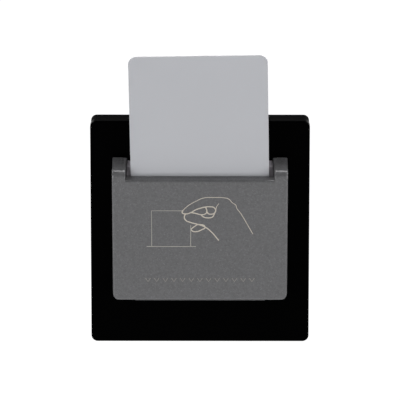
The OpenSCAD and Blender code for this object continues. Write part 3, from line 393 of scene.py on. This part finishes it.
def shrinkSleeve(look):
    paint = Paint("can_navy", {"Specular IOR Level": look["shine"]})
    stripe = (paint.axes()[0] < look["stripeEnd"] * mm) * look["stripeShare"]
    crease = paint.noise(look["crease"], detail=3)
    tone = paint.mix(look["colour"], look["pale"], stripe)
    return paint.finish(Base_Color=tone, Roughness=look["rough"] + crease * look["creaseGloss"],
        Normal=paint.relief(crease, look["depth"]))


# painted resistor bodies with colour bands, each given by its place along the body
resistorLook = {"body": (0.50, 0.36, 0.20), "ends": (2.35, 8.65), "bandWidth": 0.08, "rough": 0.35,
    "shine": 0.5, "grain": 1500, "grainGloss": 0.1, "depth": 0.006}
resistorBands = {0.18: (0.16, 0.06, 0.02), 0.38: (0.010, 0.010, 0.010), 0.56: (0.45, 0.02, 0.015),
    0.78: (0.50, 0.34, 0.06)}


def bandedResistor(look, bands):
    paint = Paint("resistor_tan", {"Specular IOR Level": look["shine"]})
    along = paint.spread(paint.axes()[0], *[end * mm for end in look["ends"]])
    stops = [(0.0, look["body"])]
    for at, colour in bands.items():
        stops += [(at, colour), (at + look["bandWidth"], look["body"])]
    tone = paint.add("ShaderNodeValToRGB", {"stops": stops}, {"Fac": along})
    grain = paint.noise(look["grain"], detail=2)
    return paint.finish(Base_Color=tone, Roughness=look["rough"] + grain * look["grainGloss"],
        Normal=paint.relief(grain, look["depth"]))


# pale beige printing ink, thinner on some lines
inkLook = {"rough": 0.6, "shine": 0.2, "screen": 5200, "screenTones": (0.88, 1.12), "screenGloss": 0.1,
    "depth": 0.002}
inkColours = {"hand_ink": (0.46, 0.42, 0.36), "card_ink": (0.30, 0.29, 0.265),
    "row_ink": (0.195, 0.187, 0.167)}


def printedInk(name, colour, look):
    paint = Paint(name, {"Specular IOR Level": look["shine"]})
    screen = paint.noise(look["screen"], detail=2)
    tone = paint.tones(colour, look["screenTones"], screen)
    return paint.finish(Base_Color=tone, Roughness=look["rough"] + screen * look["screenGloss"],
        Normal=paint.relief(screen, look["depth"]))


finishes = {slot: mouldedPlastic(slot, look, mouldLook) for slot, look in plasticLooks.items()}
finishes.update({slot: clearPlastic(slot, look, swirlLook) for slot, look in clearLooks.items()})
finishes["gloss_black"] = panelGloss(panelLook)
finishes["pocket_grey"] = flakeLacquer(coverLook)
finishes["card_grey"] = cardLaminate(cardLook)
finishes["zinc_steel"] = platedSteel(steelLook)
finishes["brass"] = turnedBrass(brassLook)
finishes["board_green"] = solderMask(boardLook)
finishes["can_navy"] = shrinkSleeve(sleeveLook)
finishes["resistor_tan"] = bandedResistor(resistorLook, resistorBands)
inks = {name: printedInk(name, colour, inkLook) for name, colour in inkColours.items()}
slotOf = {part["node"]: part["material_slot"] for part in frame["record"]["subparts"]}
for nodeName, slotName in slotOf.items():
    nodes[nodeName].data.materials.clear()
    nodes[nodeName].data.materials.append(finishes[slotName])
print("finishes:", len(finishes), "and inks:", len(inks))


def bodyOf(nodeName):
    return next(body for body, held in frame["record"]["behaviour"]["bodies"].items() if nodeName in held)


def newPiece(name, shape, finish, body=None):
    piece = addObject(name, newMesh(name, shape))
    piece.data.materials.append(finish)
    if body:
        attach(piece, body)
    return piece


# angles in degrees: nearly flat edges are merged, edges past the others are softened or stay sharp in shading
angleLook = {"flat": 0.6, "soften": 35, "sharp": 32}
faceWeight = 60


def smoothShade(piece):
    piece.data.shade_smooth()
    piece.data.set_sharp_from_angle(angle=math.radians(angleLook["sharp"]))


def weighNormals(piece):
    weigh = piece.modifiers.new("weighted", "WEIGHTED_NORMAL")
    weigh.keep_sharp = True
    weigh.weight = faceWeight


def mergedCopy(nodeName):
    shape = bmesh.new()
    shape.from_mesh(nodes[nodeName].data)
    bmesh.ops.remove_doubles(shape, verts=shape.verts, dist=weldGap)
    bmesh.ops.dissolve_degenerate(shape, dist=weldGap, edges=shape.edges)
    bmesh.ops.dissolve_limit(shape, angle_limit=math.radians(angleLook["flat"]), verts=shape.verts,
        edges=shape.edges)
    return shape


# between the lugs the guide's sides follow the lugs' splay, as far as the rails' tops
guideLook = {"half": 28.2, "rate": pocketLook["splay"] / pocketLook["depth"], "gain": 0.15, "low": 11.0,
    "close": 0.01}


def splayed(shape, look):
    for vert in shape.verts:
        x, y, z = inPocket @ vert.co
        if abs(abs(x) - look["half"] * mm) < look["close"] * mm and z > -look["low"] * mm:
            vert.co.x += math.copysign(look["gain"] * mm - look["rate"] * y, x)


# edges of the lugs and of the lip seen from the side, and the lower corners seen from the front: corner
# (out or across, down), which way is inwards from it, radius in the frame and radius as it looks
roundLooks = {
    "lugs": {"corner": (pocketLook["depth"], 0.0), "below": 1, "was": 2.0, "now": 2.6, "front": False},
    "lip": {"corner": (pocketLook["depth"], pocketLook["lipDown"]), "below": 1, "was": 1.4, "now": 0.8,
        "front": False},
    "feet": {"corner": (34.25, 55.6), "below": -1, "was": 2.2, "now": 3.4, "front": True},
}
cornerSlack = 0.01
arcSlack = 0.05


def rerounded(shape, looks):
    for vert in shape.verts:
        x, y, z = inPocket @ vert.co / mm
        for look in looks.values():
            was, now = look["was"], look["now"]
            side = look["corner"][0] - (abs(x) if look["front"] else -y)
            drop = (-z - look["corner"][1]) * look["below"]
            reach = math.hypot(now - side, now - drop)
            if not all(-cornerSlack < away < was + cornerSlack for away in (side, drop)):
                continue
            if abs(math.hypot(was - side, was - drop) - was) < arcSlack:  # on the old rounding
                gains = [away * (now / was - 1) for away in (side, drop)]
            elif reach > now > was:  # would stick out of the new one
                gains = [(now - away) * (1 - now / reach) for away in (side, drop)]
            else:
                continue
            z -= gains[1] * look["below"]
            if look["front"]:
                x -= math.copysign(gains[0], x)
            else:
                y += gains[0]
            vert.co = pocketPlace @ (Vector((x, y, z)) * mm)


reshapes = {"card_guide": (splayed, guideLook), "pocket_cover": (rerounded, roundLooks)}

# moulded and pressed pieces get the small edge radii that their tools leave
edgeLooks = {
    "pocket_cover": {"edge": 0.35, "steps": 3, "across": ((28.3, 29.3), (34.2, 34.3)), "low": 4.4,
        "downs": (3.1, 4.7), "cuts": (-33.6, -29.8, -27.6, 27.6, 29.8, 33.6)},
    "front_panel": {"edge": 0.10, "steps": 2},
    "key_card": {"edge": 0.14, "steps": 3},
    "card_guide": {"edge": 0.22, "steps": 3},
    "fascia_frame": {"edge": 0.25, "steps": 3},
    "mounting_yoke": {"edge": 0.15, "steps": 2},
    "base_housing": {"edge": 0.30, "steps": 3},
    "line_terminal": {"edge": 0.25, "steps": 2},
    "neutral_terminal": {"edge": 0.25, "steps": 2},
    "load_terminal": {"edge": 0.25, "steps": 2},
}


# the cover's other sharp edges are inside, or lie against the plate and the card
def onLug(edge, look):
    x, _, z = inPocket @ ((edge.verts[0].co + edge.verts[1].co) / 2) / mm
    return z > -look["low"] and any(low < abs(x) < high for low, high in look["across"])


# cuts beside the rounded edges of lugs and lip keep the shading of their faces even
def cutLugs(shape, look):
    upwards = pocketPlace.to_3x3() @ Vector((0, 0, 1))
    for down in look["downs"]:
        bmesh.ops.bisect_plane(shape, geom=wholeOf(shape), dist=weldGap, plane_no=upwards,
            plane_co=pocketPlace @ Vector((0, 0, -down * mm)))
    lowest = -(look["downs"][-1] + cornerSlack) * mm
    for x in look["cuts"]:
        above = [f for f in shape.faces if all((inPocket @ v.co).z > lowest for v in f.verts)]
        around = {part for f in above for part in (*f.edges, *f.verts)}
        bmesh.ops.bisect_plane(shape, geom=above + list(around), dist=weldGap, plane_co=(x * mm, 0, 0),
            plane_no=(1, 0, 0))


def softened(nodeName, look):
    shape = mergedCopy(nodeName)
    if nodeName in reshapes:
        reshape, shapeLook = reshapes[nodeName]
        reshape(shape, shapeLook)
    if "cuts" in look:
        cutLugs(shape, look)
    soften = math.radians(angleLook["soften"])
    sharp = [e for e in shape.edges if e.is_manifold and e.calc_face_angle_signed(0) > soften]
    if "across" in look:
        sharp = [e for e in sharp if onLug(e, look)]
    bmesh.ops.bevel(shape, geom=sharp, offset=look["edge"] * mm, affect="EDGES", segments=look["steps"],
        profile=0.5, material=-1, clamp_overlap="across" not in look)
    slotName = slotOf[nodeName]
    piece = newPiece(nodeName + "_soft", shape, finishes[slotName], bodyOf(nodeName))
    smoothShade(piece)
    weighNormals(piece)
    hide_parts(nodeName)
    print("softened", nodeName, len(piece.data.polygons))


for nodeName, look in edgeLooks.items():
    softened(nodeName, look)

# slider spring: closed end coils and open turns between them
springLook = {"radius": 1.75, "wire": 0.2, "low": -46.5, "high": -41.226, "turns": 4, "flat": 2.1,
    "steps": 28, "sides": 10}


def coilSpring(look):
    shape = bmesh.new()
    ring = bmesh.ops.create_circle(shape, segments=look["sides"], radius=look["wire"] * mm)["verts"]
    bmesh.ops.rotate(shape, verts=ring, cent=(0, 0, 0), matrix=Matrix.Rotation(math.radians(90), 3, "X"))
    bmesh.ops.translate(shape, verts=ring, vec=(look["radius"] * mm, 0, look["low"] * mm))
    flatTurn = look["flat"] * look["wire"]
    openTurn = (look["high"] - look["low"] - 2 * flatTurn) / look["turns"]
    for turns, rise in ((1, flatTurn), (look["turns"], openTurn), (1, flatTurn)):
        ends = [v for v in shape.verts if v.is_boundary or not v.link_faces]
        last = sorted(ends, key=lambda v: -v.co.z)[:look["sides"]]
        edges = {e for v in last for e in v.link_edges if all(w in last for w in e.verts)}
        bmesh.ops.spin(shape, geom=last + list(edges), cent=(0, 0, 0), axis=(0, 0, 1),
            dvec=(0, 0, rise * mm / look["steps"]), angle=math.radians(360 * turns),
            steps=look["steps"] * turns)
    bmesh.ops.holes_fill(shape, edges=shape.edges, sides=look["sides"])
    bmesh.ops.remove_doubles(shape, verts=shape.verts, dist=weldGap)
    bmesh.ops.recalc_face_normals(shape, faces=shape.faces)
    place = pocketPlace @ Matrix.Translation((0, -pocketLook["cardOut"] * mm, 0))
    bmesh.ops.transform(shape, verts=shape.verts, matrix=place)
    piece = newPiece("slider_coil", shape, finishes["zinc_steel"])
    piece.data.shade_smooth()
    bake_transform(piece)
    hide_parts("slider_spring")
    print("spring:", len(piece.data.polygons), "faces")


coilSpring(springLook)

# print on the cover: a card that stands on its slot line, and a hand that holds it, (across, down) in mm
printLook = {"lift": 0.012, "thick": 0.03, "hair": 0.13, "fine": 0.15, "bold": 0.22, "sides": 2, "steps": 8}
cardLines = [
    [(-18.9, 31.85), (-18.9, 16.35), (-6.6, 16.35)],
    [(-3.6, 22.6), (-3.6, 31.85)],
    [(-20.9, 31.85), (-1.6, 31.85)],
]
backLines = [
    [(20.7, 26.4), (18.2, 21.6), (15.9, 17.4), (14.4, 15.2), (14.0, 13.9), (12.6, 12.8), (11.3, 11.3),
        (9.2, 10.7), (5.2, 10.6), (1.5, 10.8), (-1.5, 12.2), (-4.4, 14.0), (-6.6, 16.1)],
    [(7.4, 13.2), (6.6, 14.4), (6.2, 15.9)],
]
fingerLines = [
    [(-6.6, 16.1), (-6.9, 17.2), (-5.6, 17.7), (-3.5, 17.1), (-1.6, 15.9), (0.6, 15.1), (2.2, 14.7),
        (4.0, 14.6), (5.4, 14.9), (6.2, 15.9)],
    [(-3.5, 17.1), (-1.6, 17.5), (0.4, 18.0), (2.1, 17.7), (2.7, 16.6), (2.2, 14.7)],
    [(2.7, 16.6), (3.2, 17.5), (4.6, 17.8), (5.8, 17.2), (6.2, 15.9)],
    [(0.4, 18.0), (1.4, 19.0), (3.2, 19.4), (4.9, 19.0), (5.8, 17.2)],
    [(-5.6, 17.7), (-6.1, 18.9), (-5.6, 20.4), (-3.6, 21.4), (-0.6, 22.3), (2.0, 23.4), (4.1, 25.1),
        (7.4, 29.2)],
    [(-3.6, 24.4), (-2.2, 23.2), (-0.6, 22.3), (2.0, 23.4), (0.6, 24.6), (-1.4, 25.4), (-2.8, 25.2),
        (-3.6, 24.4)],
]
chevronLook = {"count": 13, "pitch": 3.4, "half": 0.95, "top": 45.7, "drop": 1.5}


def chevronLines(look):
    half, top, low = look["half"], look["top"], look["top"] + look["drop"]
    first = -(look["count"] - 1) / 2
    middles = [(first + i) * look["pitch"] for i in range(look["count"])]
    return [[(x - half, top), (x, low), (x + half, top)] for x in middles]


def inkLines(name, lines, look, width, finish, curved):
    data = bpy.data.curves.new(name, "CURVE")
    data.dimensions = "3D"
    data.bevel_depth = width * mm
    data.bevel_resolution = look["sides"]
    data.resolution_u = look["steps"]
    data.use_fill_caps = True
    for line in lines:
        spline = data.splines.new("BEZIER")
        spline.bezier_points.add(len(line) - 1)
        for point, (across, down) in zip(spline.bezier_points, line):
            point.co = (across * mm, 0, -down * mm)
            point.handle_left_type = point.handle_right_type = "AUTO" if curved else "VECTOR"
    drawn = addObject(name, data)
    mesh = bpy.data.meshes.new_from_object(drawn.evaluated_get(bpy.context.evaluated_depsgraph_get()))
    bpy.data.objects.remove(drawn)
    shape = bmesh.new()
    shape.from_mesh(mesh)
    bpy.data.meshes.remove(mesh)
    bmesh.ops.scale(shape, vec=(1, look["thick"] / width / 2, 1), verts=shape.verts)
    bmesh.ops.transform(shape, verts=shape.verts,
        matrix=pocketPlace @ Matrix.Translation((0, -(pocketLook["depth"] + look["lift"]) * mm, 0)))
    bmesh.ops.recalc_face_normals(shape, faces=shape.faces)
    piece = newPiece(name, shape, finish, "housing")
    piece.data.shade_smooth()
    print("print:", name, len(piece.data.polygons), "faces")


inkLines("card_print", cardLines, printLook, printLook["fine"], inks["card_ink"], False)
inkLines("hand_print", backLines, printLook, printLook["hair"], inks["hand_ink"], True)
inkLines("finger_print", fingerLines, printLook, printLook["bold"], inks["hand_ink"], True)
inkLines("chevron_print", chevronLines(chevronLook), printLook, printLook["fine"], inks["row_ink"], False)

# wall-box screws: the plain CAD shanks become rolled threads
threadLook = {"span": 60.3, "crest": 1.75, "root": 1.42, "pitch": 0.6, "start": 0.0, "end": 23.8, "steps": 24,
    "spare": 2, "headEnd": -0.02, "profile": (("root", 0), ("root", 0.08), ("crest", 0.26), ("crest", 0.34),
    ("root", 0.52), ("root", 0.6))}


def rolledThread(look):
    thread = bmesh.new()
    lowest = look["start"] - look["spare"] * look["pitch"]
    turns = math.ceil((look["end"] - look["start"]) / look["pitch"]) + look["spare"]
    profile = [thread.verts.new((look[edge] * mm, (lowest + y) * mm, 0)) for edge, y in look["profile"]]
    edges = [thread.edges.new(pair) for pair in zip(profile, profile[1:])]
    bmesh.ops.spin(thread, geom=profile + edges, cent=(0, 0, 0), axis=(0, 1, 0),
        dvec=(0, look["pitch"] * mm / look["steps"], 0), angle=math.radians(360 * turns),
        steps=look["steps"] * turns)
    bmesh.ops.remove_doubles(thread, verts=thread.verts, dist=2 * weldGap)
    for at, normal in ((look["start"], (0, -1, 0)), (look["end"], (0, 1, 0))):
        cut = bmesh.ops.bisect_plane(thread, geom=wholeOf(thread), plane_co=(0, at * mm, 0), plane_no=normal,
            clear_outer=True)
        rim = [e for e in cut["geom_cut"] if isinstance(e, bmesh.types.BMEdge)]
        bmesh.ops.contextual_create(thread, geom=rim)
    bmesh.ops.recalc_face_normals(thread, faces=thread.faces)
    return thread


def threadedScrews(look):
    shape = mergedCopy("wall_screws")
    bmesh.ops.bisect_plane(shape, geom=wholeOf(shape), plane_co=(0, look["headEnd"] * mm, 0),
        plane_no=(0, 1, 0), clear_outer=True)
    bmesh.ops.holes_fill(shape, edges=[e for e in shape.edges if e.is_boundary], sides=0)
    bmesh.ops.recalc_face_normals(shape, faces=shape.faces)
    for side in (-1, 1):
        thread = rolledThread(look)
        bmesh.ops.translate(thread, verts=thread.verts, vec=(side * look["span"] / 2 * mm, 0, 0))
        held = newMesh("thread", thread)
        shape.from_mesh(held)
        bpy.data.meshes.remove(held)
    piece = newPiece("wall_screw_threads", shape, finishes["zinc_steel"], "housing")
    smoothShade(piece)
    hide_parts("wall_screws")
    print("threads:", len(piece.data.polygons), "faces")


threadedScrews(threadLook)

# pale floor well below, so that the wall piece hangs clear of it
floorLook = {"height": -1.25, "half": 14.0, "colour": (0.80, 0.80, 0.80), "fill": 0.86, "rough": 0.9,
    "grain": 30, "grainTones": (1, 0.985)}


def addFloor(look):
    shape = bmesh.new()
    bmesh.ops.create_grid(shape, x_segments=1, y_segments=1, size=look["half"])
    bmesh.ops.translate(shape, verts=shape.verts, vec=(0, 0, look["height"]))
    floor = addObject("floor", newMesh("floor", shape))
    paint = Paint("floor_pale", {"Roughness": look["rough"], "Specular IOR Level": 0.0})
    grain = paint.noise(look["grain"], detail=2)
    tone = paint.tones(look["colour"], look["grainTones"], grain)
    floor.data.materials.append(paint.finish(Base_Color=tone))
    glow = paint.add("ShaderNodeEmission", {}, {"Color": (1, 1, 1), "Strength": paint.seen() * look["fill"]})
    both = paint.add("ShaderNodeAddShader", {}, {0: Wire(paint, paint.surface.outputs[0]), 1: glow})
    paint.fill(paint.tree.nodes["Material Output"], {"Surface": both})


addFloor(floorLook)

# soft light from the front, the back and both sides of the top, and a strip above for the rounded edges
lightLooks = {
    "front_left": {"at": (-1.16, -1.29, -0.24), "aim": (0, 0, 0.01), "size": (0.9, 0.9), "power": 15.0},
    "front_right": {"at": (1.16, -1.29, -0.24), "aim": (0, 0, 0.01), "size": (0.9, 0.9), "power": 15.0},
    "rear_left": {"at": (-1.1, 1.3, 0.75), "aim": (0, 0, 0.01), "size": (1.0, 1.0), "power": 13.0},
    "rear_right": {"at": (1.1, 1.3, 0.75), "aim": (0, 0, 0.01), "size": (1.0, 1.0), "power": 13.0},
    "top_left": {"at": (-0.75, -0.2, 0.87), "aim": (0, -0.02, 0.03), "size": (0.5, 0.4), "power": 6.2},
    "top_right": {"at": (0.75, -0.2, 0.87), "aim": (0, -0.02, 0.03), "size": (0.5, 0.4), "power": 6.2},
    "top_strip": {"at": (0.09, 0.44, 1.05), "aim": (0.09, 0.44, 0), "size": (0.3, 0.56), "power": 4.5},
}


def addLights(looks):
    for name, look in looks.items():
        data = bpy.data.lights.new(name, "AREA")
        data.shape = "RECTANGLE"
        data.size, data.size_y = look["size"]
        data.energy = look["power"]
        lamp = addObject(name, data)
        lamp.location = look["at"]
        lamp.rotation_euler = (Vector(look["aim"]) - Vector(look["at"])).to_track_quat("-Z", "Y").to_euler()


addLights(lightLooks)

# white walls under a dim ceiling, blended between two sines of elevation; as a light the room is all dim
roomLook = {"grey": 0.22, "wallTop": 0.09, "ceiling": 0.20}


def addRoom(look):
    paint = Paint("room", {"Color": (1, 1, 1)}, room=True)
    height = paint.axes()[2]
    walls = paint.spread(height, look["wallTop"], look["ceiling"], (1, look["grey"]))
    scene.world = paint.finish(Strength=paint.spread(paint.seen(), 0, 1, (look["grey"], walls)))


addRoom(roomLook)
print("stage set")
